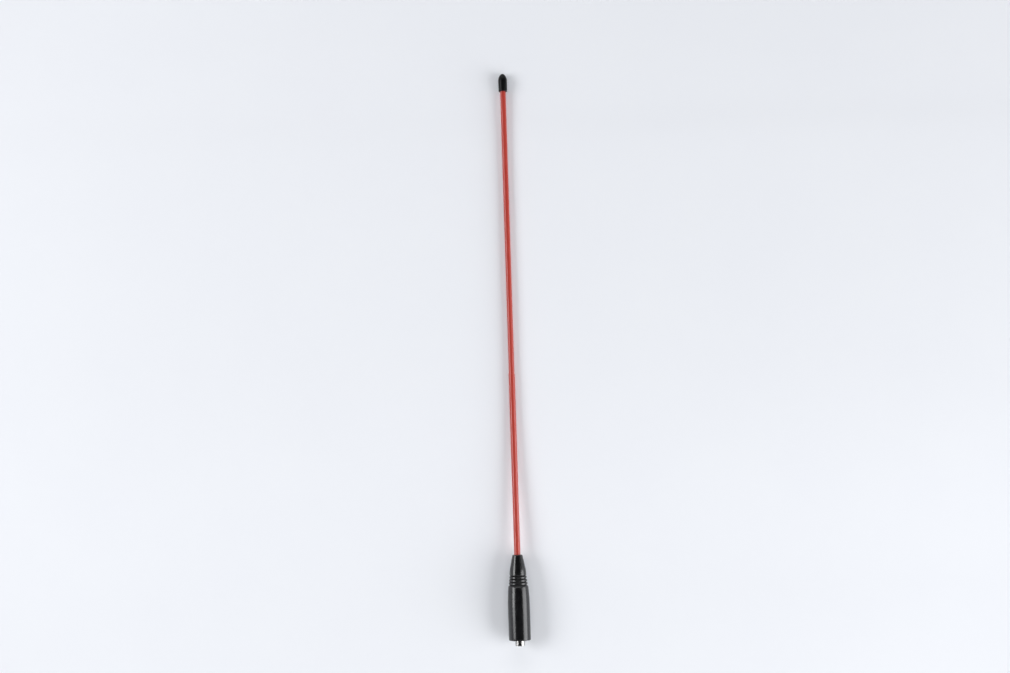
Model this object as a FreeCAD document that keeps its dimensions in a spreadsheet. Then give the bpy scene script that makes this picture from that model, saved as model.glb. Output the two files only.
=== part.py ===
import FreeCAD, Part
import Sketcher
import math
import os
import re

# Whip antenna for a handheld radio. Millimetres and degrees.
# The antenna lies along Y with its tip towards +Y. The origin is on its axis,
# at the face of the base that seats on the radio. Every piece is turned or
# moulded round that axis, so each outline is drawn as (radius, height), with
# the heights measured along Y.

sizes = {
    # threaded stub and its coaxial mouth
    "thread_d": 6.35,
    "stub_length": 4.0,
    "stub_chamfer": 0.35,
    "mouth_d": 4.6,
    "mouth_depth": 1.9,
    "insulator_d": 4.1,
    "contact_d": 1.27,
    "socket_d": 0.94,
    "socket_depth": 3.0,
    "saw_width": 0.2,
    "saw_depth": 2.4,
    # connector, stud, coil and ferrule inside the base
    "shank_step": 0.8,
    "shank_length": 9.5,
    "insulator_stand": 1.2,
    "stud_d": 4.6,
    "stud_height": 5.0,
    "contact_hole_depth": 3.0,
    "former_length": 15.0,
    "wire_d": 0.9,
    "coil_turns": 6,
    "coil_end_room": 0.1,
    "coil_room": 0.5,
    "ferrule_grip": 3.0,
    "ferrule_collar": 2.0,
    "collar_room": 0.1,
    "ferrule_barrel": 10.0,
    "core_socket": 8.5,
    # moulded base
    "base_d": 14.75,
    "foot_bevel": 0.25,
    "grip_straight": 18.0,
    "grip_length": 36.0,
    "barrel_drop": 0.62,
    "shoulder_bevel": 0.45,
    "ring_pitch": 2.05,
    "ring_step": 0.21,
    "groove_width": 0.9,
    "groove_depth": 0.48,
    "nose_length": 13.55,
    "nose_foot_length": 3.25,
    "nose_foot_drop": 0.16,
    "nose_wall": 1.3,
    "rim_bevel": 0.35,
    "bore_bevel": 0.3,
    # whip
    "core_d": 2.0,
    "sheath_d": 3.8,
    "sheath_length": 337.1,
    "stiffener_wall": 0.18,
    "stiffener_length": 133.3,
    # tip cap
    "cap_d": 6.1,
    "cap_length": 12.5,
    "cap_nose": 4.8,
    "cap_tip_radius": 2.4,
    "cap_end_wall": 3.2,
    "cap_lip": 0.6,
    # radial clearance between a piece and the bore that holds it
    "fit_gap": 0.02,
}
ring_count = 3
runs_a_turn = 10
wire_sides = 6

doc = FreeCAD.newDocument("Antenna")
sheet = doc.addObject("Spreadsheet::Sheet", "Sizes")
for row, (alias, value) in enumerate(sizes.items(), start=1):
    sheet.set(f"A{row}", alias)
    sheet.set(f"B{row}", str(value))
    sheet.setAlias(f"B{row}", alias)
doc.recompute()

# Heights of the seats up the axis
stud_seat = "(shank_length + insulator_stand)"
stud_top = f"({stud_seat} + stud_height)"
ferrule_foot = f"({stud_top} + former_length)"
collar_foot = f"({ferrule_foot} + ferrule_grip)"
chamber_top = f"({collar_foot} + ferrule_collar)"
ferrule_top = f"({chamber_top} + ferrule_barrel)"
sheath_end = f"({ferrule_top} + sheath_length)"

# Radii that one piece shares with the next
insulator_bore = "(insulator_d / 2 + fit_gap)"
contact_bore = "(contact_d / 2 + fit_gap)"
core_bore = "(core_d / 2 + fit_gap)"
sheath_bore = "(sheath_d / 2 + fit_gap)"
coil_radius = "(stud_d / 2 + fit_gap + wire_d / 2)"
chamber_radius = f"({coil_radius} + wire_d / 2 + coil_room)"
collar_radius = f"({chamber_radius} - collar_room)"
shank_radius = f"({chamber_radius} + shank_step)"
stiffener_radius = f"({sheath_bore} + stiffener_wall)"
nose_bore = f"({stiffener_radius} + fit_gap)"


def bound(text):
    """Turn the size names in a formula into links to the sheet's cells."""
    return re.sub(r"[a-z_]+", lambda name: f"Sizes.{name[0]}" if name[0] in sizes else name[0], text)


def number(text):
    """Value of a formula with the sizes as they stand."""
    return float(sheet.evalExpression(bound(text)))


def new_body(label, height="0"):
    """A body whose own height 0 lies at the given height up the antenna."""
    body = doc.addObject("PartDesign::Body", label)
    body.Label = label
    body.setExpression("Placement.Base.y", bound(height))
    return body


def new_sketch(body, name, plane):
    """An empty sketch on one of the body's origin planes."""
    sketch = body.newObject("Sketcher::SketchObject", name)
    support = [item for item in body.Origin.OriginFeatures if item.Role == plane][0]
    sketch.AttachmentSupport = [(support, "")]
    sketch.MapMode = "FlatFace"
    return sketch


def tie(sketch, kind, geometry, formula, *point):
    """Add a dimension to the sketch and link it to the sheet."""
    index = sketch.addConstraint(Sketcher.Constraint(kind, geometry, *point, number(formula)))
    sketch.setExpression(f"Constraints[{index}]", bound(formula))


def outline(body, name, steps):
    """Closed half section, counter-clockwise. Each step is (radius, height) for a
    straight run to that point, or (radius, height, bend) for an outward arc to it."""
    sketch = new_sketch(body, name, "XY_Plane")
    corners = [FreeCAD.Vector(number(step[0]), number(step[1]), 0) for step in steps]
    count = len(steps)
    for index, start in enumerate(corners):
        after = (index + 1) % count
        end = corners[after]
        if len(steps[after]) == 2:
            sketch.addGeometry(Part.LineSegment(start, end))
            continue
        bend = number(steps[after][2])
        chord = end - start
        inward = FreeCAD.Vector(-chord.y, chord.x, 0).normalize()
        rise = bend - math.sqrt(max(bend ** 2 - (chord.Length / 2) ** 2, 0))
        sketch.addGeometry(Part.Arc(start, (start + end) / 2 - inward * rise, end))
    for index, step in enumerate(steps):
        sketch.addConstraint(Sketcher.Constraint("Coincident", (index - 1) % count, 2, index, 1))
        for kind, formula, axis in (("DistanceX", step[0], -2), ("DistanceY", step[1], -1)):
            if formula == "0":
                sketch.addConstraint(Sketcher.Constraint("PointOnObject", index, 1, axis))
            else:
                tie(sketch, kind, index, formula, 1)
        if len(step) == 3:
            tie(sketch, "Radius", (index - 1) % count, step[2])
    return sketch


def turn(body, kind, name, sketch):
    """Revolve the sketch round the antenna's axis, as solid or as a cut."""
    feature = body.newObject(kind, name)
    feature.Profile = sketch
    feature.ReferenceAxis = (sketch, ["V_Axis"])
    feature.Angle = 360
    return feature


def turned_piece(label, steps, height="0"):
    """A body made of one revolved outline."""
    body = new_body(label, height)
    turn(body, "PartDesign::Revolution", "Turned", outline(body, "Section", steps))
    return body


def tube_piece(label, bore, radius, length, height):
    """A plain tube, or a rod where the bore is 0."""
    return turned_piece(label, [(bore, "0"), (radius, "0"), (radius, length), (bore, length)], height)


def connector_body():
    """Threaded stub and the shank that carries the base, flush with its foot."""
    shank_top = "(stub_length + shank_length)"
    return turned_piece("connector_body", [
        ("mouth_d / 2", "0"),
        ("thread_d / 2 - stub_chamfer", "0"),
        ("thread_d / 2", "stub_chamfer"),
        ("thread_d / 2", "stub_length"),
        (shank_radius, "stub_length"),
        (shank_radius, shank_top),
        (insulator_bore, shank_top),
        (insulator_bore, "mouth_depth"),
        ("mouth_d / 2", "mouth_depth"),
    ], "-stub_length")


def connector_insulator():
    """Bush from the floor of the connector's mouth to a little above its shank."""
    foot = "mouth_depth - stub_length"
    length = f"(stub_length - mouth_depth + {stud_seat})"
    return tube_piece("connector_insulator", contact_bore, "insulator_d / 2", length, foot)


def centre_contact():
    """Pin with a socket in its lower end, split by one saw cut."""
    length = f"(stub_length - mouth_depth + {stud_seat} + contact_hole_depth)"
    body = turned_piece("centre_contact", [
        ("socket_d / 2", "0"),
        ("contact_d / 2", "0"),
        ("contact_d / 2", length),
        ("0", length),
        ("0", "socket_depth"),
        ("socket_d / 2", "socket_depth"),
    ], "mouth_depth - stub_length")
    sketch = new_sketch(body, "SawCutOutline", "YZ_Plane")
    depth = number("saw_depth")
    side = number("saw_width / 2")
    corners = [FreeCAD.Vector(*spot) for spot in ((0, -side), (depth, -side), (depth, side), (0, side))]
    for index, start in enumerate(corners):
        sketch.addGeometry(Part.LineSegment(start, corners[(index + 1) % 4]))
    for index in range(4):
        sketch.addConstraint(Sketcher.Constraint("Coincident", index, 2, (index + 1) % 4, 1))
    sketch.addConstraint(Sketcher.Constraint("Horizontal", 0))
    sketch.addConstraint(Sketcher.Constraint("Vertical", 1))
    sketch.addConstraint(Sketcher.Constraint("Horizontal", 2))
    sketch.addConstraint(Sketcher.Constraint("PointOnObject", 0, 1, -2))
    sketch.addConstraint(Sketcher.Constraint("Symmetric", 0, 1, 3, 1, -1))
    tie(sketch, "DistanceX", 0, "saw_depth", 1, 0, 2)
    tie(sketch, "DistanceY", 1, "saw_width", 1, 1, 2)
    cut = body.newObject("PartDesign::Pocket", "SawCut")
    cut.Profile = sketch
    cut.SideType = "Symmetric"
    cut.Type = "ThroughAll"
    return body


def feed_stud():
    """Stud on the contact's upper end, which the coil's lower turn sits on."""
    return turned_piece("feed_stud", [
        (contact_bore, "0"),
        ("stud_d / 2", "0"),
        ("stud_d / 2", "stud_height"),
        ("0", "stud_height"),
        ("0", "contact_hole_depth"),
        (contact_bore, "contact_hole_depth"),
    ], stud_seat)


def loading_coil():
    """Wire wound from the stud to the ferrule's collar, in short straight runs whose
    middles lie on the stud and the former."""
    wire_radius = number("wire_d / 2")
    first = number(f"{stud_seat} + coil_end_room") + wire_radius
    last = number(f"{collar_foot} - coil_end_room") - wire_radius
    corner_radius = number(coil_radius) / math.cos(math.pi / runs_a_turn)
    runs = round(number("coil_turns") * runs_a_turn)
    corners = []
    for index in range(runs + 1):
        angle = 2 * math.pi * index / runs_a_turn
        x = corner_radius * math.cos(angle)
        y = first + (last - first) * index / runs
        z = corner_radius * math.sin(angle)
        corners.append(FreeCAD.Vector(x, y, z))
    path = doc.addObject("Part::Feature", "CoilPath")
    path.Shape = Part.makePolygon(corners)

    section = doc.addObject("Part::RegularPolygon", "WireSection")
    section.Polygon = wire_sides
    section.setExpression("Circumradius", bound("wire_d / 2"))
    along = FreeCAD.Rotation(FreeCAD.Vector(0, 0, 1), corners[1] - corners[0])
    section.Placement = FreeCAD.Placement(corners[0], along)

    coil = doc.addObject("Part::Sweep", "loading_coil")
    coil.Label = "loading_coil"
    coil.Sections = [section]
    coil.Spine = (path, [f"Edge{index + 1}" for index in range(runs)])
    coil.Transition = "Right corner"
    coil.Solid = True
    return coil


def whip_ferrule():
    """Stud for the coil's upper turn, collar under the base's ledge, barrel on the wire."""
    collar_head = "(ferrule_grip + ferrule_collar)"
    top = f"({collar_head} + ferrule_barrel)"
    socket_floor = f"({top} - core_socket)"
    return turned_piece("whip_ferrule", [
        ("0", "0"),
        ("stud_d / 2", "0"),
        ("stud_d / 2", "ferrule_grip"),
        (collar_radius, "ferrule_grip"),
        (collar_radius, collar_head),
        (stiffener_radius, collar_head),
        (stiffener_radius, top),
        (core_bore, top),
        (core_bore, socket_floor),
        ("0", socket_floor),
    ], ferrule_foot)


def whip_core():
    """Spring wire from the ferrule's socket to the end of the sheath."""
    length = "(core_socket + sheath_length)"
    return tube_piece("whip_core", "0", "core_d / 2", length, f"{ferrule_top} - core_socket")


def base_sleeve():
    """Moulded base: barrelled grip, rings between grooves, and a tapered nose."""
    grip_top = "(grip_length - shoulder_bevel)"
    grip_top_radius = "(base_d / 2 - barrel_drop)"
    barrel_rise = f"({grip_top} - grip_straight)"
    barrel_bend = f"({barrel_rise}^2 + barrel_drop^2) / (2 * barrel_drop)"
    ring_radius = f"({grip_top_radius} - shoulder_bevel)"
    nose_radius = f"({ring_radius} - {ring_count + 0.5} * ring_step)"
    nose_foot = f"(grip_length + {ring_count} * ring_pitch + groove_width)"
    base_top = f"({nose_foot} + nose_length)"
    rim_radius = f"({nose_bore} + nose_wall)"

    steps = [
        ("0", "0"),
        ("base_d / 2 - foot_bevel", "0"),
        ("base_d / 2", "foot_bevel"),
        ("base_d / 2", "grip_straight"),
        (grip_top_radius, grip_top, barrel_bend),
        (ring_radius, "grip_length"),
    ]
    for groove in range(ring_count + 1):
        root = f"{ring_radius} - {groove} * ring_step - groove_depth"
        crest = f"{ring_radius} - {groove + 0.5} * ring_step"
        foot = f"grip_length + {groove} * ring_pitch"
        steps.append((root, f"{foot} + groove_width / 2"))
        steps.append((crest, f"{foot} + groove_width"))
        if groove < ring_count:
            steps.append((crest, f"{foot} + ring_pitch"))
    steps += [
        (f"{nose_radius} - nose_foot_drop", f"{nose_foot} + nose_foot_length"),
        (rim_radius, f"{base_top} - rim_bevel"),
        (f"{rim_radius} - rim_bevel", base_top),
        ("0", base_top),
    ]
    body = turned_piece("base_sleeve", steps)

    hollow = outline(body, "HollowSection", [
        ("0", "0"),
        (f"{shank_radius} + fit_gap", "0"),
        (f"{shank_radius} + fit_gap", "shank_length"),
        (chamber_radius, "shank_length"),
        (chamber_radius, chamber_top),
        (nose_bore, chamber_top),
        (nose_bore, f"{base_top} - bore_bevel"),
        (f"{nose_bore} + bore_bevel", base_top),
        ("0", base_top),
    ])
    turn(body, "PartDesign::Groove", "Hollow", hollow)
    return body


def tip_cap():
    """Rubber cap with a blunt ogive nose, pushed on the end of the whip."""
    shoulder = "(cap_length - cap_nose)"
    tip_centre = "(cap_nose - cap_tip_radius)"
    ogive_bend = (f"(((cap_d / 2)^2 + {tip_centre}^2 - cap_tip_radius^2)"
                  " / (cap_d - 2 * cap_tip_radius))")
    lean = f"({tip_centre} / ({ogive_bend} - cap_tip_radius))"
    meet_radius = f"(cap_tip_radius * sqrt(1 - {lean}^2))"
    meet_height = f"({shoulder} + {tip_centre} + cap_tip_radius * {lean})"
    bore_depth = "(cap_length - cap_end_wall)"
    return turned_piece("tip_cap", [
        (sheath_bore, "0"),
        ("cap_d / 2 - cap_lip", "0"),
        ("cap_d / 2", "cap_lip"),
        ("cap_d / 2", shoulder),
        (meet_radius, meet_height, ogive_bend),
        ("0", "cap_length", "cap_tip_radius"),
        ("0", bore_depth),
        (sheath_bore, bore_depth),
    ], f"{sheath_end} + cap_end_wall - cap_length")


pieces = [
    connector_body(),
    connector_insulator(),
    centre_contact(),
    feed_stud(),
    tube_piece("coil_former", "0", "stud_d / 2", "former_length", stud_top),
    loading_coil(),
    whip_ferrule(),
    base_sleeve(),
    whip_core(),
    tube_piece("whip_sheath", core_bore, "sheath_d / 2", "sheath_length", ferrule_top),
    tube_piece("stiffener_sleeve", sheath_bore, stiffener_radius, "stiffener_length", ferrule_top),
    tip_cap(),
]
doc.recompute()

for item in doc.Objects:
    if "Invalid" in item.State or "Error" in item.State:
        raise RuntimeError(f"{item.Label} failed: {item.State}")
for piece in pieces:
    if piece.Shape.isNull() or not piece.Shape.isValid() or len(piece.Shape.Solids) != 1:
        raise RuntimeError(f"{piece.Label} is not one sound solid")
for feature in doc.Objects:
    if feature.TypeId in ("PartDesign::Pocket", "PartDesign::Groove"):
        if feature.Shape.Volume >= feature.BaseFeature.Shape.Volume:
            raise RuntimeError(f"{feature.Label} cuts nothing")

os.makedirs("parts", exist_ok=True)
for piece in pieces:
    piece.Shape.exportStep(f"parts/{piece.Label}.step")
    print(f"{piece.Label}: {piece.Shape.Volume:.2f} mm3")
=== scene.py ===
import bpy
import bmesh
import math
from mathutils import Matrix, Vector


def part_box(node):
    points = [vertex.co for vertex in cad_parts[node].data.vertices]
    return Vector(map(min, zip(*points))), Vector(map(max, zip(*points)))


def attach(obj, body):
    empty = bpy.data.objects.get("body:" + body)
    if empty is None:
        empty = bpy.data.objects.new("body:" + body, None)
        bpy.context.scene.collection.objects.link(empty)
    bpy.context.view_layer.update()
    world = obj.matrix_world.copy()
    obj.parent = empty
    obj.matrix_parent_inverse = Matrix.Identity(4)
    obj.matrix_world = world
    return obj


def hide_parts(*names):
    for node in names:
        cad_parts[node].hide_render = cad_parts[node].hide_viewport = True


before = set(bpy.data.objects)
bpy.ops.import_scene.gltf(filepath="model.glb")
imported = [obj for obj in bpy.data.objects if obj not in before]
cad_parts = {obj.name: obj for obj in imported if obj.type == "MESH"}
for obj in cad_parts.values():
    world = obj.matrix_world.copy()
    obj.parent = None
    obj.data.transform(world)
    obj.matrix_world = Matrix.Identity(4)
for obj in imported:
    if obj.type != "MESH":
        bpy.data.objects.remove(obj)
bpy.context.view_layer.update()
scene = bpy.context.scene
mm = 0.001
inch = 25.4     # in mm, as every size of a piece is
sizeDigits = 3  # sizes are read from the solids to the micron
print("frame loaded:", ", ".join(sorted(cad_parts)))


def nodeSpan(node):  # where a solid starts and ends along the axis, in mm
    low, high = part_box(node)
    return round(low.y / mm, sizeDigits), round(high.y / mm, sizeDigits)


def nodeRadius(node):
    low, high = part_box(node)
    return round(max(high.x, high.z, -low.x, -low.z) / mm, sizeDigits)


def unitShare(value):
    return min(1.0, max(0.0, value))


# mesh tools: every outline is a closed loop of (radius, height, rounding) in mm round the Y axis

meshRules = {
    "arcShare": 0.499,   # a rounding takes at most this share of the sides beside it
    "straight": 1e-4,    # a corner this near to straight, in radians, stays as it is
    "tiny": 1e-6,        # nearer to the axis than this is on it
    "wornBelow": 1.0,    # an outward rounding under this is an edge that wears
    "angleDigits": 6,    # angles that agree to here are one
    "sharpAngle": 35.0,  # edges over this, in degrees, stay sharp
}


def roundCorner(before, corner, after, rounding, steps):
    corner = Vector(corner)
    toBefore = Vector(before) - corner
    toAfter = Vector(after) - corner
    reach = min(toBefore.length, toAfter.length) * meshRules["arcShare"]
    toBefore.normalize()
    toAfter.normalize()
    opening = toBefore.angle(toAfter)
    if rounding <= 0 or opening > math.pi - meshRules["straight"]:
        return [corner]
    touch = min(rounding / math.tan(opening / 2), reach)
    radius = touch * math.tan(opening / 2)
    centre = corner + (toBefore + toAfter).normalized() * (radius / math.sin(opening / 2))
    start = corner + toBefore * touch - centre
    sweep = math.pi - opening
    if start.x * toAfter.y - start.y * toAfter.x < 0:
        sweep = -sweep
    points = []
    for step in range(steps + 1):
        turn = sweep * step / steps
        across = start.x * math.cos(turn) - start.y * math.sin(turn)
        along = start.x * math.sin(turn) + start.y * math.cos(turn)
        points.append(centre + Vector((across, along)))
    return points


def roundedLoop(corners, longestRun, steps):
    loop = []  # (radius, height, edge): edge is 1 on a small outward rounding
    for index, (radius, height, rounding) in enumerate(corners):
        before = corners[index - 1][:2]
        after = corners[(index + 1) % len(corners)][:2]
        outward = (radius - before[0]) * (after[1] - height) > (height - before[1]) * (after[0] - radius)
        edge = 1.0 if outward and 0 < rounding < meshRules["wornBelow"] else 0.0
        for point in roundCorner(before, (radius, height), after, rounding, steps):
            loop.append((max(point.x, 0.0), point.y, edge))
    filled = []
    for index, point in enumerate(loop):
        following = loop[(index + 1) % len(loop)]
        filled.append(point)
        length = math.hypot(following[0] - point[0], following[1] - point[1])
        onAxis = max(point[0], following[0]) < meshRules["tiny"]
        runs = 1 if onAxis else max(1, math.ceil(length / longestRun))
        for run in range(1, runs):
            share = run / runs
            filled.append((point[0] + (following[0] - point[0]) * share,
                           point[1] + (following[1] - point[1]) * share, 0.0))
    return filled


def evenAngles(count, fineSpots=(), fineSteps=()):
    angles = [2 * math.pi * step / count for step in range(count)]
    for spot in fineSpots:
        angles += [math.radians(spot + step) % (2 * math.pi) for step in fineSteps]
    return sorted({round(angle, meshRules["angleDigits"]) for angle in angles})


def turnedMesh(name, loop, angles, reshape=None):
    mesh = bpy.data.meshes.new(name)
    work = bmesh.new()
    edgeLayer = work.verts.layers.float.new("edgeMask")
    grooveLayer = work.verts.layers.float.new("grooveMask")
    rings = []
    for radius, height, edge in loop:
        onAxis = radius < meshRules["tiny"]
        ring = []
        for angle in ([0.0] if onAxis else angles):
            far, up, groove = radius, height, 0.0
            if reshape and not onAxis:
                far, up, groove = reshape(radius, height, angle)
            vert = work.verts.new((far * mm * math.cos(angle), up * mm, far * mm * math.sin(angle)))
            vert[edgeLayer] = edge
            vert[grooveLayer] = groove
            ring.append(vert)
        rings.append(ring)
    for index, ring in enumerate(rings):
        following = rings[(index + 1) % len(rings)]
        if len(ring) == 1 and len(following) == 1:
            continue
        for step in range(len(angles)):
            after = (step + 1) % len(angles)
            if len(ring) == 1:
                corners = (ring[0], following[after], following[step])
            elif len(following) == 1:
                corners = (ring[step], ring[after], following[0])
            else:
                corners = (ring[step], ring[after], following[after], following[step])
            work.faces.new(corners)
    bmesh.ops.recalc_face_normals(work, faces=work.faces)
    work.to_mesh(mesh)
    work.free()
    return mesh


def addPiece(name, mesh, material, slotName, *nodes):
    mesh.shade_smooth()
    mesh.set_sharp_from_angle(angle=math.radians(meshRules["sharpAngle"]))
    mesh.materials.clear()
    mesh.materials.append(material)
    piece = bpy.data.objects.new(name, mesh)
    scene.collection.objects.link(piece)
    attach(piece, "root")
    if nodes:
        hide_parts(*nodes)
    print("piece", name, len(mesh.polygons), "faces")


# shader tools

mixSockets = {"base": 6, "over": 7, "result": 2}  # the colour sockets of a Mix node
waveRate = 20.0                                   # a wave texture turns by this angle in a unit


def addNode(tree, kind, values=None, **settings):
    node = tree.nodes.new(kind)
    for key, value in settings.items():
        setattr(node, key, value)
    for socket, value in (values or {}).items():
        node.inputs[socket].default_value = value
    return node


def addGroup(tree, group, values):
    return addNode(tree, "ShaderNodeGroup", values, node_tree=group)


def newGroup(name, inputs, outputs):
    tree = bpy.data.node_groups.new(name, "ShaderNodeTree")
    for label, kind, value in inputs:
        socket = tree.interface.new_socket(name=label, in_out="INPUT", socket_type=kind)
        socket.default_value = value
    for label, kind in outputs:
        tree.interface.new_socket(name=label, in_out="OUTPUT", socket_type=kind)
    return tree, tree.nodes.new("NodeGroupInput"), tree.nodes.new("NodeGroupOutput")


def grainGroup():
    tree, given, result = newGroup("surfaceGrain", [
        ("Scale", "NodeSocketFloat", 4000.0),
        ("Patch Scale", "NodeSocketFloat", 120.0),
        ("Stretch", "NodeSocketVector", (1.0, 1.0, 1.0)),
    ], [("Height", "NodeSocketFloat"), ("Patches", "NodeSocketFloat")])
    place = addNode(tree, "ShaderNodeTexCoord")
    stretch = addNode(tree, "ShaderNodeVectorMath", operation="MULTIPLY")
    fine = addNode(tree, "ShaderNodeTexNoise", {"Detail": 3.0, "Roughness": 0.6})
    broad = addNode(tree, "ShaderNodeTexNoise", {"Detail": 4.0, "Roughness": 0.55})
    spread = addNode(tree, "ShaderNodeMapRange", {"From Min": 0.3, "From Max": 0.7})
    tree.links.new(place.outputs["Object"], stretch.inputs[0])
    tree.links.new(given.outputs["Stretch"], stretch.inputs[1])
    tree.links.new(stretch.outputs[0], fine.inputs["Vector"])
    tree.links.new(given.outputs["Scale"], fine.inputs["Scale"])
    tree.links.new(stretch.outputs[0], broad.inputs["Vector"])
    tree.links.new(given.outputs["Patch Scale"], broad.inputs["Scale"])
    tree.links.new(broad.outputs["Fac"], spread.inputs["Value"])
    tree.links.new(fine.outputs["Fac"], result.inputs["Height"])
    tree.links.new(spread.outputs["Result"], result.inputs["Patches"])
    return tree


def wearGroup():
    tree, given, result = newGroup("edgeWear", [
        ("Scale", "NodeSocketFloat", 900.0),
        ("Amount", "NodeSocketFloat", 0.5),
    ], [("Mask", "NodeSocketFloat")])
    edge = addNode(tree, "ShaderNodeAttribute", attribute_name="edgeMask")
    place = addNode(tree, "ShaderNodeTexCoord")
    patchy = addNode(tree, "ShaderNodeTexNoise", {"Detail": 5.0, "Roughness": 0.7})
    cut = addNode(tree, "ShaderNodeMapRange", {"From Min": 0.42, "From Max": 0.68})
    both = addNode(tree, "ShaderNodeMath", operation="MULTIPLY")
    scaled = addNode(tree, "ShaderNodeMath", operation="MULTIPLY", use_clamp=True)
    tree.links.new(place.outputs["Object"], patchy.inputs["Vector"])
    tree.links.new(given.outputs["Scale"], patchy.inputs["Scale"])
    tree.links.new(patchy.outputs["Fac"], cut.inputs["Value"])
    tree.links.new(cut.outputs["Result"], both.inputs[0])
    tree.links.new(edge.outputs["Fac"], both.inputs[1])
    tree.links.new(both.outputs[0], scaled.inputs[0])
    tree.links.new(given.outputs["Amount"], scaled.inputs[1])
    tree.links.new(scaled.outputs[0], result.inputs["Mask"])
    return tree


# painted shade with some dirt: this mask darkens the colour deep in thread roots and ring grooves, where
# shade falls
def dirtAndShadeGroup():
    tree, given, result = newGroup("grooveDirtAndPaintedShade", [
        ("Scale", "NodeSocketFloat", 1200.0),
        ("Amount", "NodeSocketFloat", 0.8),
    ], [("Mask", "NodeSocketFloat")])
    depth = addNode(tree, "ShaderNodeAttribute", attribute_name="grooveMask")
    place = addNode(tree, "ShaderNodeTexCoord")
    patchy = addNode(tree, "ShaderNodeTexNoise", {"Detail": 4.0, "Roughness": 0.6})
    lay = addNode(tree, "ShaderNodeMapRange", {"From Min": 0.3, "From Max": 0.6, "To Min": 0.75})
    inGrooves = addNode(tree, "ShaderNodeMapRange", {"From Max": 0.25})
    both = addNode(tree, "ShaderNodeMath", operation="MULTIPLY")
    scaled = addNode(tree, "ShaderNodeMath", operation="MULTIPLY", use_clamp=True)
    tree.links.new(place.outputs["Object"], patchy.inputs["Vector"])
    tree.links.new(given.outputs["Scale"], patchy.inputs["Scale"])
    tree.links.new(patchy.outputs["Fac"], lay.inputs["Value"])
    tree.links.new(depth.outputs["Fac"], inGrooves.inputs["Value"])
    tree.links.new(lay.outputs["Result"], both.inputs[0])
    tree.links.new(inGrooves.outputs["Result"], both.inputs[1])
    tree.links.new(both.outputs[0], scaled.inputs[0])
    tree.links.new(given.outputs["Amount"], scaled.inputs[1])
    tree.links.new(scaled.outputs[0], result.inputs["Mask"])
    return tree


def dustGroup():
    tree, given, result = newGroup("dustSpecks", [
        ("Scale", "NodeSocketFloat", 700.0),
        ("Speck Size", "NodeSocketFloat", 0.1),
        ("Amount", "NodeSocketFloat", 0.3),
    ], [("Mask", "NodeSocketFloat")])
    place = addNode(tree, "ShaderNodeTexCoord")
    cells = addNode(tree, "ShaderNodeTexVoronoi", feature="F1")
    inside = addNode(tree, "ShaderNodeMath", operation="LESS_THAN")
    clumps = addNode(tree, "ShaderNodeTexNoise", {"Scale": 160.0, "Detail": 2.0})
    some = addNode(tree, "ShaderNodeMapRange", {"From Min": 0.5, "From Max": 0.7})
    specks = addNode(tree, "ShaderNodeMath", operation="MULTIPLY")
    scaled = addNode(tree, "ShaderNodeMath", operation="MULTIPLY", use_clamp=True)
    tree.links.new(place.outputs["Object"], cells.inputs["Vector"])
    tree.links.new(given.outputs["Scale"], cells.inputs["Scale"])
    tree.links.new(cells.outputs["Distance"], inside.inputs[0])
    tree.links.new(given.outputs["Speck Size"], inside.inputs[1])
    tree.links.new(place.outputs["Object"], clumps.inputs["Vector"])
    tree.links.new(clumps.outputs["Fac"], some.inputs["Value"])
    tree.links.new(inside.outputs[0], specks.inputs[0])
    tree.links.new(some.outputs["Result"], specks.inputs[1])
    tree.links.new(specks.outputs[0], scaled.inputs[0])
    tree.links.new(given.outputs["Amount"], scaled.inputs[1])
    tree.links.new(scaled.outputs[0], result.inputs["Mask"])
    return tree


def scuffGroup():
    tree, given, result = newGroup("fineScuffs", [
        ("Scale", "NodeSocketFloat", 500.0),
        ("Turn", "NodeSocketVector", (0.3, 0.2, 0.5)),
        ("Stretch", "NodeSocketVector", (1.0, 0.03, 1.0)),
    ], [("Mask", "NodeSocketFloat")])
    place = addNode(tree, "ShaderNodeTexCoord")
    rotate = addNode(tree, "ShaderNodeVectorRotate", rotation_type="EULER_XYZ")
    stretch = addNode(tree, "ShaderNodeVectorMath", operation="MULTIPLY")
    streaks = addNode(tree, "ShaderNodeTexNoise", {"Detail": 2.0, "Roughness": 0.5})
    cut = addNode(tree, "ShaderNodeMapRange", {"From Min": 0.6, "From Max": 0.72})
    tree.links.new(place.outputs["Object"], rotate.inputs["Vector"])
    tree.links.new(given.outputs["Turn"], rotate.inputs["Rotation"])
    tree.links.new(rotate.outputs[0], stretch.inputs[0])
    tree.links.new(given.outputs["Stretch"], stretch.inputs[1])
    tree.links.new(stretch.outputs[0], streaks.inputs["Vector"])
    tree.links.new(given.outputs["Scale"], streaks.inputs["Scale"])
    tree.links.new(streaks.outputs["Fac"], cut.inputs["Value"])
    tree.links.new(cut.outputs["Result"], result.inputs["Mask"])
    return tree


grain = grainGroup()
wear = wearGroup()
grooveDirtAndShade = dirtAndShadeGroup()
dust = dustGroup()
scuffs = scuffGroup()
print("shader groups ready")


def mixColour(tree, mask, base, over):  # base and over are colours or sockets
    mix = addNode(tree, "ShaderNodeMix", data_type="RGBA", blend_type="MIX")
    tree.links.new(mask, mix.inputs["Factor"])
    for side, source in (("base", base), ("over", over)):
        socket = mix.inputs[mixSockets[side]]
        if isinstance(source, tuple):
            socket.default_value = (*source, 1.0)
        else:
            tree.links.new(source, socket)
    return mix.outputs[mixSockets["result"]]


def addWhere(tree, mask, amount, base):
    total = addNode(tree, "ShaderNodeMath", {1: amount}, operation="MULTIPLY_ADD", use_clamp=True)
    tree.links.new(mask, total.inputs[0])
    tree.links.new(base, total.inputs[2])
    return total.outputs[0]


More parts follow.
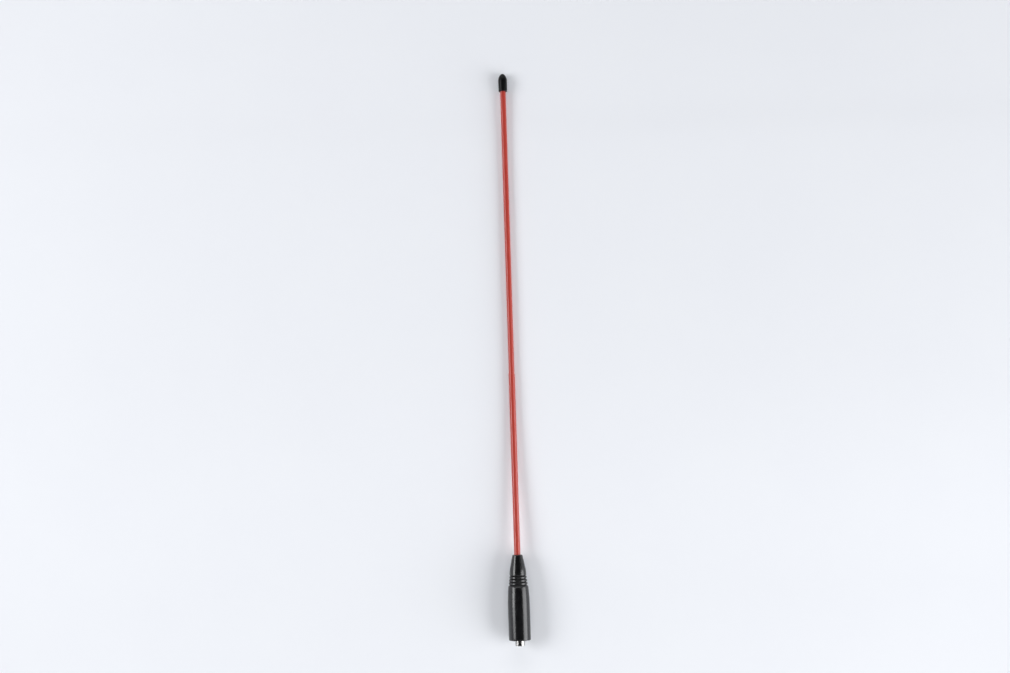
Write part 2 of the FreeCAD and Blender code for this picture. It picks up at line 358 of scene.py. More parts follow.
def surfaceColour(tree, look, patches, dirtAndShade):
    colour = mixColour(tree, patches, look["colour"], look["patchColour"])
    if "wearColour" in look:
        worn = addGroup(tree, wear, {"Scale": look["wearScale"], "Amount": look["wearAmount"]})
        colour = mixColour(tree, worn.outputs["Mask"], colour, look["wearColour"])
    if "dustColour" in look:
        specks = addGroup(tree, dust, {"Scale": look["dustScale"], "Speck Size": look["dustSize"],
                                       "Amount": look["dustAmount"]})
        colour = mixColour(tree, specks.outputs["Mask"], colour, look["dustColour"])
    # painted shade in the grooves, with some dirt: the colour goes darker where the groove mask lies
    if dirtAndShade:
        colour = mixColour(tree, dirtAndShade, colour, look["dirtAndShadeColour"])
    return colour


def surfaceRoughness(tree, look, patches, dirtAndShade):
    smoothest, roughest = look["roughness"]
    rough = addNode(tree, "ShaderNodeMapRange", {"To Min": smoothest, "To Max": roughest})
    tree.links.new(patches, rough.inputs["Value"])
    roughness = rough.outputs["Result"]
    if "scuffRoughness" in look:
        lines = addGroup(tree, scuffs, {"Scale": look["scuffScale"], "Turn": look["scuffTurn"],
                                        "Stretch": look["scuffStretch"]})
        roughness = addWhere(tree, lines.outputs["Mask"], look["scuffRoughness"], roughness)
    if dirtAndShade:
        roughness = addWhere(tree, dirtAndShade, look["grooveRoughness"], roughness)
    return roughness


def surfaceNormal(tree, look, height):
    bump = addNode(tree, "ShaderNodeBump",
                   {"Strength": look["bumpStrength"], "Distance": look["bumpDepth"] * mm})
    tree.links.new(height, bump.inputs["Height"])
    if "ringPitch" not in look:
        return bump.outputs["Normal"]
    # tool marks round the axis
    waveScale = 2 * math.pi / (waveRate * look["ringPitch"] * mm)
    place = addNode(tree, "ShaderNodeTexCoord")
    rings = addNode(tree, "ShaderNodeTexWave", {"Scale": waveScale, "Distortion": 1.5, "Detail": 2.0},
                    wave_type="BANDS", bands_direction="Y")
    marks = addNode(tree, "ShaderNodeBump",
                    {"Strength": look["ringStrength"], "Distance": look["ringDepth"] * mm})
    tree.links.new(place.outputs["Object"], rings.inputs["Vector"])
    tree.links.new(rings.outputs["Fac"], marks.inputs["Height"])
    tree.links.new(bump.outputs["Normal"], marks.inputs["Normal"])
    return marks.outputs["Normal"]


def makeFinish(look):
    material = bpy.data.materials.new(look["name"])
    material.use_nodes = True
    tree = material.node_tree
    shader = tree.nodes["Principled BSDF"]
    for socket, value in look.get("shader", {}).items():
        shader.inputs[socket].default_value = value
    fine = addGroup(tree, grain, {"Scale": look["grainScale"], "Patch Scale": look["patchScale"]})
    if "grainStretch" in look:
        fine.inputs["Stretch"].default_value = look["grainStretch"]
    patches = fine.outputs["Patches"]
    dirtAndShade = None
    if "dirtAndShadeColour" in look:
        inGrooves = addGroup(tree, grooveDirtAndShade, {"Scale": look["dirtAndShadeScale"], "Amount": look["dirtAndShadeAmount"]})
        dirtAndShade = inGrooves.outputs["Mask"]
    tree.links.new(surfaceColour(tree, look, patches, dirtAndShade), shader.inputs["Base Color"])
    tree.links.new(surfaceRoughness(tree, look, patches, dirtAndShade), shader.inputs["Roughness"])
    tree.links.new(surfaceNormal(tree, look, fine.outputs["Height"]), shader.inputs["Normal"])
    return material


# moulded base

basePlastic = makeFinish({
    "name": "satin_black_plastic",
    "colour": (0.0036, 0.0036, 0.0041), "patchColour": (0.0050, 0.0050, 0.0056),
    "grainScale": 5200.0, "patchScale": 260.0,
    "wearColour": (0.045, 0.045, 0.047), "wearScale": 1100.0, "wearAmount": 0.45,
    "dustColour": (0.16, 0.16, 0.16), "dustScale": 900.0, "dustSize": 0.055, "dustAmount": 0.5,
    "roughness": (0.20, 0.27), "scuffRoughness": 0.10, "scuffScale": 900.0,
    "scuffTurn": (0.1, 0.3, 0.2), "scuffStretch": (1.0, 0.06, 1.0),
    # painted shade with some dirt: a darker colour in the ring grooves
    "dirtAndShadeColour": (0.0030, 0.0030, 0.0032), "dirtAndShadeScale": 1400.0, "dirtAndShadeAmount": 0.9,
    "grooveRoughness": 0.4, "bumpStrength": 0.3, "bumpDepth": 0.010,
    "shader": {"IOR": 1.56},
})

baseSizes = {
    "seamRoom": 0.03,  # the grip keeps this far inside the solid, so that the seam fits
    "footRound": 0.22, "barrelCorner": 26.8, "barrelBend": 240.0,
    "gripTopRadius": 6.735, "gripTop": 35.45, "shoulder": 0.6,
    "rings": 3, "ringFoot": 36.0, "ringFootRound": 0.25, "ringRadius": 6.3, "ringRound": 0.2,
    "ringStep": 0.21, "ringPitch": 2.05, "grooveWidth": 1.05, "grooveDepth": 0.85, "grooveRound": 0.08,
    "noseKneeRadius": 5.41, "noseKneeHeight": 46.3, "noseBend": 30.0,
    "rimRadius": 3.41, "rimHeight": 56.3, "rimRound": 0.3, "rimTopStep": 0.35, "rimTopRound": 0.2,
    "mouthBevel": 0.45, "mouthTopRound": 0.08, "mouthRound": 0.1,
    "boreRadius": 2.12, "ledge": 35.7, "chamberRadius": 3.72, "shankBore": 4.54, "shankBoreRound": 0.12,
    "seamAngles": (0.0, 180.0), "seamHeight": 0.028, "seamWidth": 0.09,
    "seamSteps": (-2.0, -1.2, -0.8, -0.4, 0.0, 0.4, 0.8, 1.2, 2.0),
    "footMargin": 0.1, "mouthMargin": 0.6,  # the seam keeps this far from the bores
    "segments": 160, "longestRun": 1.5, "arcSteps": 6,
}


def makeBase(sizes):
    foot, top = nodeSpan("base_sleeve")
    shankTop = nodeSpan("connector_body")[1]
    gripRadius = nodeRadius("base_sleeve") - sizes["seamRoom"]
    corners = [
        (sizes["shankBore"], foot, sizes["shankBoreRound"]),
        (gripRadius, foot, sizes["footRound"]),
        (gripRadius, sizes["barrelCorner"], sizes["barrelBend"]),
        (sizes["gripTopRadius"], sizes["gripTop"], sizes["shoulder"]),
        (sizes["ringRadius"], sizes["ringFoot"], sizes["ringFootRound"]),
    ]
    for groove in range(sizes["rings"] + 1):
        low = sizes["ringFoot"] + groove * sizes["ringPitch"]
        root = sizes["ringRadius"] - groove * sizes["ringStep"] - sizes["grooveDepth"]
        crest = sizes["ringRadius"] - (groove + 0.5) * sizes["ringStep"]
        corners.append((root, low + sizes["grooveWidth"] / 2, sizes["grooveRound"]))
        corners.append((crest, low + sizes["grooveWidth"], sizes["ringRound"]))
        if groove < sizes["rings"]:
            corners.append((crest, low + sizes["ringPitch"], sizes["ringRound"]))
    corners += [
        (sizes["noseKneeRadius"], sizes["noseKneeHeight"], sizes["noseBend"]),
        (sizes["rimRadius"], sizes["rimHeight"], sizes["rimRound"]),
        (sizes["rimRadius"] - sizes["rimTopStep"], top, sizes["rimTopRound"]),
        (sizes["boreRadius"] + sizes["mouthBevel"], top, sizes["mouthTopRound"]),
        (sizes["boreRadius"], top - sizes["mouthBevel"], sizes["mouthRound"]),
        (sizes["boreRadius"], sizes["ledge"], 0.0),
        (sizes["chamberRadius"], sizes["ledge"], 0.0),
        (sizes["chamberRadius"], shankTop, 0.0),
        (sizes["shankBore"], shankTop, 0.0),
    ]
    ringsEnd = sizes["ringFoot"] + sizes["rings"] * sizes["ringPitch"] + sizes["grooveWidth"]

    def seamAndGrooves(radius, height, angle):
        onGrip = radius > sizes["shankBore"] + sizes["footMargin"] and height > sizes["footRound"]
        onNose = height > sizes["noseKneeHeight"]
        inMouth = radius < sizes["boreRadius"] + sizes["mouthMargin"]
        if inMouth or not (onGrip or onNose):
            return radius, height, 0.0
        groove = 0.0
        if sizes["ringFoot"] < height < ringsEnd:
            taper = (height - sizes["ringFoot"]) / sizes["ringPitch"] * sizes["ringStep"]
            groove = unitShare((sizes["ringRadius"] - taper - radius) / sizes["grooveDepth"])
        rise = 0.0
        for spot in sizes["seamAngles"]:
            away = (angle - math.radians(spot) + math.pi) % (2 * math.pi) - math.pi
            rise += sizes["seamHeight"] * math.exp(-(away * radius / sizes["seamWidth"]) ** 2)
        return radius + rise, height, groove

    loop = roundedLoop(corners, sizes["longestRun"], sizes["arcSteps"])
    angles = evenAngles(sizes["segments"], sizes["seamAngles"], sizes["seamSteps"])
    mesh = turnedMesh("base_moulding", loop, angles, seamAndGrooves)
    addPiece("base_moulding", mesh, basePlastic, "base_plastic", "base_sleeve")


makeBase(baseSizes)

# rubber tip cap

capRubber = makeFinish({
    "name": "matt_black_rubber",
    "colour": (0.0036, 0.0038, 0.0041), "patchColour": (0.0052, 0.0054, 0.0058),
    "grainScale": 3800.0, "patchScale": 420.0,
    "wearColour": (0.030, 0.030, 0.031), "wearScale": 1300.0, "wearAmount": 0.35,
    "dustColour": (0.20, 0.20, 0.20), "dustScale": 1100.0, "dustSize": 0.07, "dustAmount": 0.45,
    "roughness": (0.27, 0.35),
    "bumpStrength": 0.35, "bumpDepth": 0.012,
    "shader": {"IOR": 1.47, "Specular IOR Level": 0.2},
})

capSizes = {
    "shoulder": 381.2, "lipRadius": 2.95, "bodyRadius": 3.04, "tipRadius": 1.8, "boreRadius": 1.92,
    "lipRound": 0.8, "mouthFlare": 0.15, "mouthRound": 0.05, "boreRound": 0.08,
    "ogiveSteps": 18, "tipSteps": 10, "segments": 112, "longestRun": 0.8, "arcSteps": 6,
}


def makeCap(sizes):
    foot, tip = nodeSpan("tip_cap")
    boreFloor = nodeSpan("whip_sheath")[1]
    tipCentre = tip - sizes["shoulder"] - sizes["tipRadius"]
    bend = (sizes["bodyRadius"] ** 2 + tipCentre ** 2 - sizes["tipRadius"] ** 2)
    bend /= 2 * (sizes["bodyRadius"] - sizes["tipRadius"])
    meet = math.asin(tipCentre / (bend - sizes["tipRadius"]))
    corners = [
        (sizes["boreRadius"], foot + sizes["mouthFlare"], sizes["boreRound"]),
        (sizes["boreRadius"] + sizes["mouthFlare"], foot, sizes["mouthRound"]),
        (sizes["lipRadius"], foot, sizes["lipRound"]),
    ]
    for step in range(sizes["ogiveSteps"] + 1):
        angle = meet * step / sizes["ogiveSteps"]
        corners.append((sizes["bodyRadius"] - bend * (1 - math.cos(angle)),
                        sizes["shoulder"] + bend * math.sin(angle), 0.0))
    for step in range(1, sizes["tipSteps"] + 1):
        angle = meet + (math.pi / 2 - meet) * step / sizes["tipSteps"]
        corners.append((sizes["tipRadius"] * math.cos(angle) if step < sizes["tipSteps"] else 0.0,
                        sizes["shoulder"] + tipCentre + sizes["tipRadius"] * math.sin(angle), 0.0))
    corners += [(0.0, boreFloor, 0.0), (sizes["boreRadius"], boreFloor, 0.0)]
    loop = roundedLoop(corners, sizes["longestRun"], sizes["arcSteps"])
    mesh = turnedMesh("rubber_tip_cap", loop, evenAngles(sizes["segments"]))
    addPiece("rubber_tip_cap", mesh, capRubber, "cap_rubber", "tip_cap")


makeCap(capSizes)

# red jacket in two layers: the long sheath, and the stiffening sleeve over its lower part

redJacket = makeFinish({
    "name": "satin_red_jacket",
    "colour": (0.450, 0.046, 0.032), "patchColour": (0.475, 0.053, 0.037),
    "grainScale": 2600.0, "patchScale": 60.0, "grainStretch": (1.0, 0.12, 1.0),
    "wearColour": (0.50, 0.11, 0.09), "wearScale": 1500.0, "wearAmount": 0.3,
    "dustColour": (0.46, 0.30, 0.27), "dustScale": 1000.0, "dustSize": 0.05, "dustAmount": 0.4,
    "roughness": (0.24, 0.32), "scuffRoughness": 0.08, "scuffScale": 700.0,
    "scuffTurn": (0.0, 0.0, 0.05), "scuffStretch": (1.0, 0.04, 1.0),
    "bumpStrength": 0.25, "bumpDepth": 0.012,
    "shader": {"IOR": 1.5},
})

sheathSizes = {"bore": 1.02, "endRound": 0.05, "segments": 80, "longestRun": 4.0, "arcSteps": 3}


def makeSheath(sizes):
    foot, end = nodeSpan("whip_sheath")
    radius = nodeRadius("whip_sheath")
    corners = [(sizes["bore"], foot, 0.0), (radius, foot, sizes["endRound"]),
               (radius, end, sizes["endRound"]), (sizes["bore"], end, 0.0)]
    loop = roundedLoop(corners, sizes["longestRun"], sizes["arcSteps"])
    mesh = turnedMesh("whip_jacket", loop, evenAngles(sizes["segments"]))
    addPiece("whip_jacket", mesh, redJacket, "red_jacket", "whip_sheath")


sleeveSizes = {
    "bore": 1.92, "footRound": 0.05, "lip": 0.09, "boreRound": 0.03,
    "cutReach": 1.5, "cutSlant": 0.3, "cutTurn": 0.4, "cutWave": 0.06, "waves": 3, "waveTurn": 1.0,
    "segments": 96, "longestRun": 1.5, "arcSteps": 5,
}


def makeSleeve(sizes):
    foot, end = nodeSpan("stiffener_sleeve")
    radius = nodeRadius("stiffener_sleeve")
    corners = [(sizes["bore"], foot, 0.0), (radius, foot, sizes["footRound"]),
               (radius, end, sizes["lip"]), (sizes["bore"], end, sizes["boreRound"])]

    def slantedEnd(radius, height, angle):  # a knife cut, not quite square
        near = max(0.0, 1 - (end - height) / sizes["cutReach"])
        slant = sizes["cutSlant"] * (0.5 + 0.5 * math.cos(angle - sizes["cutTurn"]))
        wave = sizes["cutWave"] * (0.5 + 0.5 * math.cos(sizes["waves"] * angle + sizes["waveTurn"]))
        return radius, height - near * (slant + wave), 0.0

    loop = roundedLoop(corners, sizes["longestRun"], sizes["arcSteps"])
    mesh = turnedMesh("stiffener_jacket", loop, evenAngles(sizes["segments"]), slantedEnd)
    addPiece("stiffener_jacket", mesh, redJacket, "red_jacket", "stiffener_sleeve")


makeSheath(sheathSizes)
makeSleeve(sleeveSizes)

# connector: threaded nickel stub, white bush, gilt contact

nickelPlate = makeFinish({
    "name": "bright_nickel_plate",
    "colour": (0.66, 0.65, 0.63), "patchColour": (0.72, 0.71, 0.69),
    "grainScale": 3000.0, "patchScale": 500.0,
    "wearColour": (0.78, 0.76, 0.73), "wearScale": 1500.0, "wearAmount": 0.5,
    "roughness": (0.06, 0.12),
    # painted shade with some dirt: a dark colour in the thread roots
    "dirtAndShadeColour": (0.03, 0.028, 0.026), "dirtAndShadeScale": 1800.0, "dirtAndShadeAmount": 0.95, "grooveRoughness": 0.3,
    "bumpStrength": 0.12, "bumpDepth": 0.003,
    "ringPitch": 0.06, "ringStrength": 0.1, "ringDepth": 0.002,
    "shader": {"Metallic": 1.0},
})

whiteBush = makeFinish({
    "name": "white_bush_plastic",
    "colour": (0.74, 0.74, 0.71), "patchColour": (0.80, 0.80, 0.78),
    "grainScale": 3500.0, "patchScale": 600.0,
    "roughness": (0.42, 0.52),
    "bumpStrength": 0.2, "bumpDepth": 0.006,
    "shader": {"IOR": 1.38},
})

goldPlate = makeFinish({
    "name": "thin_gold_plate",
    "colour": (0.80, 0.56, 0.20), "patchColour": (0.86, 0.63, 0.26),
    "grainScale": 4000.0, "patchScale": 900.0,
    "wearColour": (0.88, 0.72, 0.42), "wearScale": 1800.0, "wearAmount": 0.4,
    "roughness": (0.16, 0.26),
    "bumpStrength": 0.15, "bumpDepth": 0.003,
    "shader": {"Metallic": 1.0},
})

stubSizes = {
    "threadRadius": 3.175, "threadsAnInch": 36, "threadDepth": 0.24, "crestShare": 0.68, "rootShare": 0.06,
    "runOut": 0.75, "rowsAPitch": 24, "chamfer": 0.35, "endRound": 0.05,
    "mouthRadius": 2.3, "mouthBevel": 0.12, "mouthWall": 0.2, "bore": 2.07,
    "shankRound": 0.12, "shankTopRound": 0.2,
    "segments": 120, "longestRun": 1.2, "arcSteps": 4,
}


def makeStub(sizes):
    end, shankTop = nodeSpan("connector_body")
    mouthFloor = nodeSpan("connector_insulator")[0]
    shankRadius = nodeRadius("connector_body")
    pitch = inch / sizes["threadsAnInch"]
    corners = [
        (sizes["mouthRadius"], end + sizes["mouthBevel"], sizes["endRound"]),
        (sizes["mouthRadius"] + sizes["mouthBevel"], end, sizes["endRound"]),
        (sizes["threadRadius"] - sizes["chamfer"], end, sizes["endRound"]),
    ]
    rows = round(-end / pitch * sizes["rowsAPitch"])
    for row in range(1, rows + 1):
        height = end * (1 - row / rows)
        rise = min(sizes["chamfer"], height - end)
        corners.append((sizes["threadRadius"] - sizes["chamfer"] + rise, height, 0.0))
    corners += [
        (shankRadius, 0.0, sizes["shankRound"]),
        (shankRadius, shankTop, sizes["shankTopRound"]),
        (sizes["bore"], shankTop, 0.0),
        (sizes["bore"], mouthFloor, 0.0),
        (sizes["mouthRadius"], mouthFloor, 0.0),
    ]

    def thread(radius, height, angle):  # right-handed, with flats on crest and root
        onStub = end + meshRules["tiny"] <= height <= -meshRules["tiny"]
        if not onStub or radius < sizes["mouthRadius"] + sizes["mouthWall"]:
            return radius, height, 0.0
        phase = (height / pitch + angle / (2 * math.pi)) % 1
        fromRoot = abs(phase - 0.5) * 2
        flank = 1 - sizes["crestShare"] - sizes["rootShare"]
        cut = unitShare((1 - sizes["crestShare"] - fromRoot) / flank)
        fade = unitShare(-height / sizes["runOut"])
        cut *= fade * fade * (3 - 2 * fade)  # the thread runs out softly under the base
        return min(radius, sizes["threadRadius"] - sizes["threadDepth"] * cut), height, cut

    loop = roundedLoop(corners, sizes["longestRun"], sizes["arcSteps"])
    mesh = turnedMesh("threaded_connector", loop, evenAngles(sizes["segments"]), thread)
    addPiece("threaded_connector", mesh, nickelPlate, "nickel_plate", "connector_body")


bushSizes = {
    "bore": 0.655, "boreRound": 0.08, "bevel": 0.18, "topRound": 0.1, "topBoreRound": 0.05,
    "segments": 72, "longestRun": 1.0, "arcSteps": 4,
}


def makeBush(sizes):
    foot, top = nodeSpan("connector_insulator")
    radius = nodeRadius("connector_insulator")
    corners = [(sizes["bore"], foot, sizes["boreRound"]), (radius, foot, sizes["bevel"]),
               (radius, top, sizes["topRound"]), (sizes["bore"], top, sizes["topBoreRound"])]
    loop = roundedLoop(corners, sizes["longestRun"], sizes["arcSteps"])
    mesh = turnedMesh("insulator_bush", loop, evenAngles(sizes["segments"]))
    addPiece("insulator_bush", mesh, whiteBush, "white_bush", "connector_insulator")


contactSizes = {
    "socket": 0.47, "socketDepth": 3.0, "socketRound": 0.06, "footRound": 0.07, "topRound": 0.05,
    "sawWidth": 0.2, "sawDepth": 2.4, "bladeLength": 4.0, "bladeBelow": 1.0,
    "segments": 48, "longestRun": 0.6, "arcSteps": 4,
}


def makeContact(sizes):
    foot, top = nodeSpan("centre_contact")
    radius = nodeRadius("centre_contact")
    floor = foot + sizes["socketDepth"]
    corners = [(sizes["socket"], foot, sizes["socketRound"]), (radius, foot, sizes["footRound"]),
               (radius, top, sizes["topRound"]), (0.0, top, 0.0),
               (0.0, floor, 0.0), (sizes["socket"], floor, 0.0)]
    loop = roundedLoop(corners, sizes["longestRun"], sizes["arcSteps"])
    blank = turnedMesh("contact_blank", loop, evenAngles(sizes["segments"]))
    pin = bpy.data.objects.new("contact_blank", blank)
    low = foot - sizes["bladeBelow"]
    high = foot + sizes["sawDepth"]
    saw = bpy.data.meshes.new("saw_blade")
    work = bmesh.new()
    bmesh.ops.create_cube(work, size=1.0)
    bmesh.ops.scale(work, verts=work.verts,
                    vec=(sizes["bladeLength"] * mm, (high - low) * mm, sizes["sawWidth"] * mm))
    bmesh.ops.translate(work, verts=work.verts, vec=(0, (high + low) / 2 * mm, 0))
    work.to_mesh(saw)
    work.free()
    blade = bpy.data.objects.new("saw_blade", saw)
    scene.collection.objects.link(pin)
    scene.collection.objects.link(blade)
    cut = pin.modifiers.new("sawCut", "BOOLEAN")
    cut.object = blade
    cut.operation = "DIFFERENCE"
    cut.solver = "EXACT"
    mesh = bpy.data.meshes.new_from_object(pin.evaluated_get(bpy.context.evaluated_depsgraph_get()))
    mesh.name = "socket_contact"
    bpy.data.objects.remove(pin)
    bpy.data.objects.remove(blade)
    addPiece("socket_contact", mesh, goldPlate, "gold_plate", "centre_contact")


makeStub(stubSizes)
makeBush(bushSizes)
makeContact(contactSizes)

# what the base hides: coil, former, stud, ferrule and the spring wire

turnedBrass = makeFinish({
    "name": "turned_brass",
    "colour": (0.66, 0.47, 0.20), "patchColour": (0.72, 0.53, 0.25),
    "grainScale": 3000.0, "patchScale": 400.0, "roughness": (0.24, 0.36),
    "bumpStrength": 0.15, "bumpDepth": 0.005, "ringPitch": 0.12, "ringStrength": 0.3, "ringDepth": 0.004,
    "shader": {"Metallic": 1.0},
})

copperWire = makeFinish({
    "name": "enamelled_copper_wire",
    "colour": (0.60, 0.24, 0.11), "patchColour": (0.70, 0.31, 0.16),
    "grainScale": 2500.0, "patchScale": 500.0, "roughness": (0.22, 0.32),
    "bumpStrength": 0.1, "bumpDepth": 0.004,
    "shader": {"Metallic": 1.0},
})

formerPlastic = makeFinish({
    "name": "natural_former_plastic",
    "colour": (0.66, 0.64, 0.55), "patchColour": (0.71, 0.69, 0.61),
    "grainScale": 3000.0, "patchScale": 300.0, "roughness": (0.42, 0.55),
    "bumpStrength": 0.2, "bumpDepth": 0.01,
})

springSteel = makeFinish({
    "name": "drawn_spring_wire",
    "colour": (0.46, 0.46, 0.46), "patchColour": (0.54, 0.54, 0.53),
    "grainScale": 3000.0, "patchScale": 300.0, "grainStretch": (1.0, 0.03, 1.0), "roughness": (0.28, 0.40),
    "bumpStrength": 0.2, "bumpDepth": 0.005,
    "shader": {"Metallic": 1.0},
})

coilSizes = {"first": 11.25, "last": 33.15, "turns": 6, "radius": 2.79, "wireRadius": 0.44,
             "stepsATurn": 40, "sides": 12}


def makeCoil(sizes):
    mesh = bpy.data.meshes.new("coil_winding")
    work = bmesh.new()
    steps = sizes["turns"] * sizes["stepsATurn"]
    rise = (sizes["last"] - sizes["first"]) / steps
    advance = 2 * math.pi * sizes["radius"] / sizes["stepsATurn"]
    rings = []
    for step in range(steps + 1):
        angle = 2 * math.pi * step / sizes["stepsATurn"]
        outward = Vector((math.cos(angle), 0, math.sin(angle)))
        around = Vector((-math.sin(angle), 0, math.cos(angle)))
        along = (around * advance + Vector((0, rise, 0))).normalized()
        across = along.cross(outward)
        centre = outward * sizes["radius"] + Vector((0, sizes["first"] + rise * step, 0))
        ring = []
        for side in range(sizes["sides"]):
            turn = 2 * math.pi * side / sizes["sides"]
            spot = centre + (outward * math.cos(turn) + across * math.sin(turn)) * sizes["wireRadius"]
            ring.append(work.verts.new(spot * mm))
        rings.append(ring)
    for ring, following in zip(rings, rings[1:]):
        for side in range(sizes["sides"]):
            after = (side + 1) % sizes["sides"]
            work.faces.new((ring[side], ring[after], following[after], following[side]))
    work.faces.new(rings[0])
    work.faces.new(rings[-1])
    bmesh.ops.recalc_face_normals(work, faces=work.faces)
    work.to_mesh(mesh)
    work.free()
    addPiece("coil_winding", mesh, copperWire, "copper_wire", "loading_coil")


makeCoil(coilSizes)

for nodeName, material in (("feed_stud", turnedBrass), ("whip_ferrule", turnedBrass),
                           ("coil_former", formerPlastic), ("whip_core", springSteel)):
    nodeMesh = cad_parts[nodeName].data
    nodeMesh.materials.clear()
    nodeMesh.materials.append(material)
print("inner pieces finished")

# pale board under the antenna: a sprung whip sags on to a flat board, so under this straight one
# the board swells a little, from the grip up to the whip and down again at the cap

boardSizes = {
    "size": 9000.0, "rowStep": 2.5,
    "levels": [(30.0, -7.37), (195.0, -2.35), (340.0, -2.35), (372.0, -3.06)],  # (along the axis, height)
    "colour": (0.90, 0.915, 0.95), "mottle": (0.91, 0.925, 0.956), "roughness": 0.8, "gloss": 0.0,
    "grainScale": 900.0, "patchScale": 14.0,
    "middle": (0.0, 0.19, 0.0), "fadeStart": 0.33, "fadeEnd": 0.62,  # in metres, as the shader has them
    "farColour": (0.83, 0.845, 0.895), "farMottle": (0.84, 0.855, 0.902),
}


def boardFinish(sizes):
    material = bpy.data.materials.new("pale_board")
    material.use_nodes = True
    tree = material.node_tree
    shader = tree.nodes["Principled BSDF"]
    shader.inputs["Roughness"].default_value = sizes["roughness"]
    shader.inputs["Specular IOR Level"].default_value = sizes["gloss"]
    fine = addGroup(tree, grain, {"Scale": sizes["grainScale"], "Patch Scale": sizes["patchScale"]})
    patches = fine.outputs["Patches"]
    tree.links.new(mixColour(tree, patches, sizes["colour"], sizes["mottle"]), shader.inputs["Base Color"])

    # away from the antenna the board runs into the backdrop, for rays that see it straight or mirrored
    glow = addNode(tree, "ShaderNodeEmission")
    tree.links.new(mixColour(tree, patches, sizes["farColour"], sizes["farMottle"]), glow.inputs["Color"])
    place = addNode(tree, "ShaderNodeTexCoord")
    away = addNode(tree, "ShaderNodeVectorMath", {1: sizes["middle"]}, operation="DISTANCE")
    fade = addNode(tree, "ShaderNodeMapRange",
                   {"From Min": sizes["fadeStart"], "From Max": sizes["fadeEnd"]},
                   interpolation_type="SMOOTHSTEP")
    path = addNode(tree, "ShaderNodeLightPath")
    seen = addNode(tree, "ShaderNodeMath", operation="MAXIMUM")
    seenAtAll = addNode(tree, "ShaderNodeMath", operation="MAXIMUM")
    share = addNode(tree, "ShaderNodeMath", operation="MULTIPLY")
    blend = addNode(tree, "ShaderNodeMixShader")
    tree.links.new(place.outputs["Object"], away.inputs[0])
    tree.links.new(away.outputs["Value"], fade.inputs["Value"])
    tree.links.new(path.outputs["Is Camera Ray"], seen.inputs[0])
    tree.links.new(path.outputs["Is Glossy Ray"], seen.inputs[1])
    tree.links.new(seen.outputs[0], seenAtAll.inputs[0])
    tree.links.new(path.outputs["Is Transmission Ray"], seenAtAll.inputs[1])
    tree.links.new(fade.outputs["Result"], share.inputs[0])
    tree.links.new(seenAtAll.outputs[0], share.inputs[1])
    tree.links.new(share.outputs[0], blend.inputs["Fac"])
    tree.links.new(shader.outputs[0], blend.inputs[1])
    tree.links.new(glow.outputs[0], blend.inputs[2])
    tree.links.new(blend.outputs[0], tree.nodes["Material Output"].inputs["Surface"])
    return material


def boardHeight(levels, along):
    height = levels[0][1]
    for (start, low), (end, high) in zip(levels, levels[1:]):
        share = unitShare((along - start) / (end - start))
        height += (high - low) * share ** 2 * (6 - 8 * share + 3 * share ** 2)  # the curve of a sagging rod
    return height


def makeBoard(sizes):
    first = sizes["levels"][0][0]
    last = sizes["levels"][-1][0]
    rowCount = round((last - first) / sizes["rowStep"])
    half = sizes["size"] / 2
    rows = [-half] + [first + (last - first) * row / rowCount for row in range(rowCount + 1)] + [half]
    mesh = bpy.data.meshes.new("board")
    work = bmesh.new()
    edges = []
    for along in rows:
        height = boardHeight(sizes["levels"], along)
        edges.append([work.verts.new((side * mm, along * mm, height * mm)) for side in (-half, half)])
    for edge, following in zip(edges, edges[1:]):
        work.faces.new((edge[0], edge[1], following[1], following[0]))
    work.to_mesh(mesh)
    work.free()
    mesh.shade_smooth()
    mesh.materials.append(boardFinish(sizes))
    board = bpy.data.objects.new("board", mesh)
    scene.collection.objects.link(board)
    print("board", len(rows), "rows")


makeBoard(boardSizes)

# soft light from both sides, dark overhead; lamps are in metres, watts and degrees

lamps = {
    "left_softbox": {"towards": (-1, 0), "aim": 0.27, "fromVertical": 57.6, "distance": 1.7,
                     "width": 0.72, "length": 1.02, "watts": 16.6},
    "right_softbox": {"towards": (1, 0), "aim": -0.72, "fromVertical": 66.0, "distance": 1.7,
                      "width": 1.3, "length": 2.0, "watts": 38.0},
    "near_fill": {"towards": (0, -1), "aim": 0.19, "fromVertical": 50.0, "distance": 1.7,
                  "width": 1.3, "length": 1.0, "watts": 8.0},
    "far_fill": {"towards": (0, 1), "aim": 0.19, "fromVertical": 58.0, "distance": 1.7,
                 "width": 0.85, "length": 1.8, "watts": 8.0},
}
lampColour = (0.975, 0.985, 1.0)
# (how far up, colour)
skyStops = [(0.0, (0.83, 0.845, 0.895)), (0.2, (0.62, 0.63, 0.67)), (0.35, (0.12, 0.12, 0.13)),
            (0.5, (0.03, 0.03, 0.033)), (0.8, (0.015, 0.015, 0.017))]


def makeLamp(name, lamp):
    light = bpy.data.lights.new(name, "AREA")
    light.shape = "RECTANGLE"
    light.size = lamp["width"]
    light.size_y = lamp["length"]
    light.energy = lamp["watts"]
    light.color = lampColour
    tilt = math.radians(lamp["fromVertical"])
    towards = Vector((*lamp["towards"], 0))
    back = towards * math.sin(tilt) + Vector((0, 0, math.cos(tilt)))
    along = Vector((0, 0, 1)).cross(towards)
    across = along.cross(back)
    place = Vector((0, lamp["aim"], 0)) + back * lamp["distance"]
    holder = bpy.data.objects.new(name, light)
    holder.matrix_world = Matrix.Translation(place) @ Matrix((across, along, back)).transposed().to_4x4()
    scene.collection.objects.link(holder)


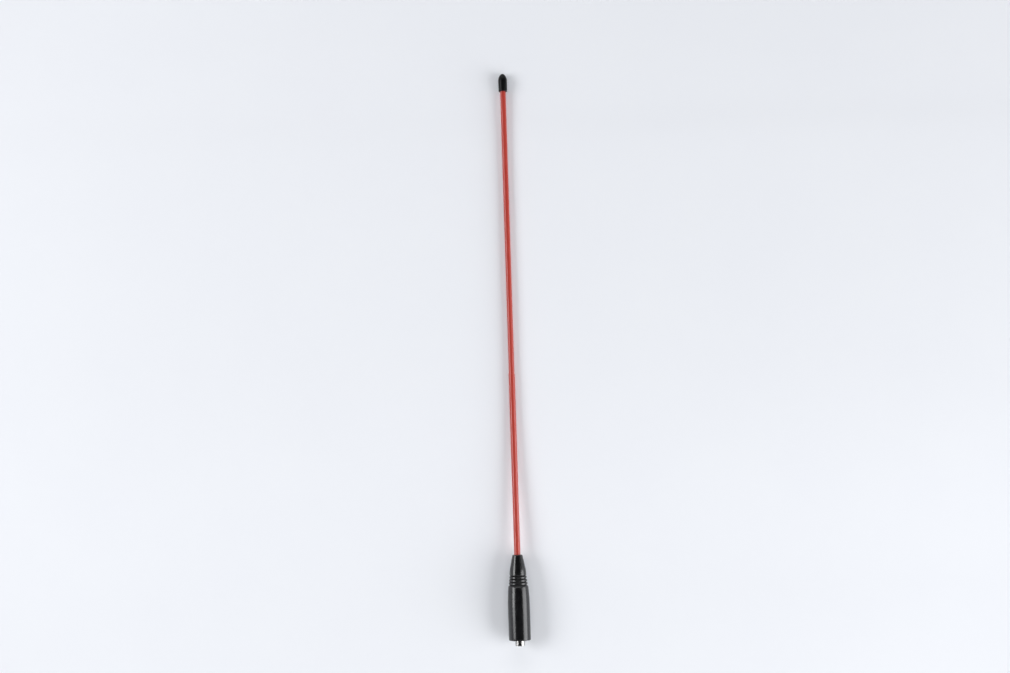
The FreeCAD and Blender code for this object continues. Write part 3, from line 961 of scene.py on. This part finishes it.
def makeSky(stops):
    world = bpy.data.worlds.new("studio")
    world.use_nodes = True
    tree = world.node_tree
    place = addNode(tree, "ShaderNodeTexCoord")
    parts = addNode(tree, "ShaderNodeSeparateXYZ")
    ramp = addNode(tree, "ShaderNodeValToRGB")
    elements = ramp.color_ramp.elements
    ready = len(elements)
    for index, (height, colour) in enumerate(stops):
        stop = elements[index] if index < ready else elements.new(height)
        stop.position = height
        stop.color = (*colour, 1.0)
    tree.links.new(place.outputs["Generated"], parts.inputs[0])
    tree.links.new(parts.outputs["Z"], ramp.inputs["Fac"])
    tree.links.new(ramp.outputs["Color"], tree.nodes["Background"].inputs["Color"])
    scene.world = world


for lampName, lampSizes in lamps.items():
    makeLamp(lampName, lampSizes)
makeSky(skyStops)
print("lamps", ", ".join(lamps))

# camera as in the photograph: almost straight down, a little rolled; angles in radians, depth in metres

shot = {
    "imageWidth": 1010, "imageHeight": 673, "lens": 50.0, "sensor": 36.0,
    "clipStart": 0.01, "clipEnd": 30.0, "tilt": 0.0717, "roll": 0.0308, "depth": 0.9548,
    "anchor": (0.0, 0.190, 0.0), "anchorPixel": (511.15, 357.2),
}


def makeCamera(sizes):
    focal = sizes["lens"] / sizes["sensor"] * sizes["imageWidth"]
    turn = Matrix.Rotation(-sizes["roll"], 3, "Z")
    ahead = turn @ Vector((0, math.sin(sizes["tilt"]), -math.cos(sizes["tilt"])))
    up = turn @ Vector((0, math.cos(sizes["tilt"]), math.sin(sizes["tilt"])))
    right = ahead.cross(up)
    across = (sizes["anchorPixel"][0] - sizes["imageWidth"] / 2) / focal
    down = (sizes["anchorPixel"][1] - sizes["imageHeight"] / 2) / focal
    place = Vector(sizes["anchor"]) - (ahead + right * across - up * down) * sizes["depth"]
    data = bpy.data.cameras.new("camera")
    data.sensor_fit = "HORIZONTAL"
    data.sensor_width = sizes["sensor"]
    data.lens = sizes["lens"]
    data.clip_start = sizes["clipStart"]
    data.clip_end = sizes["clipEnd"]
    camera = bpy.data.objects.new("camera", data)
    camera.matrix_world = Matrix.Translation(place) @ Matrix((right, up, -ahead)).transposed().to_4x4()
    scene.collection.objects.link(camera)
    scene.camera = camera
    print("camera at", [round(part, sizeDigits) for part in place])


makeCamera(shot)
scene.view_settings.view_transform = "Standard"
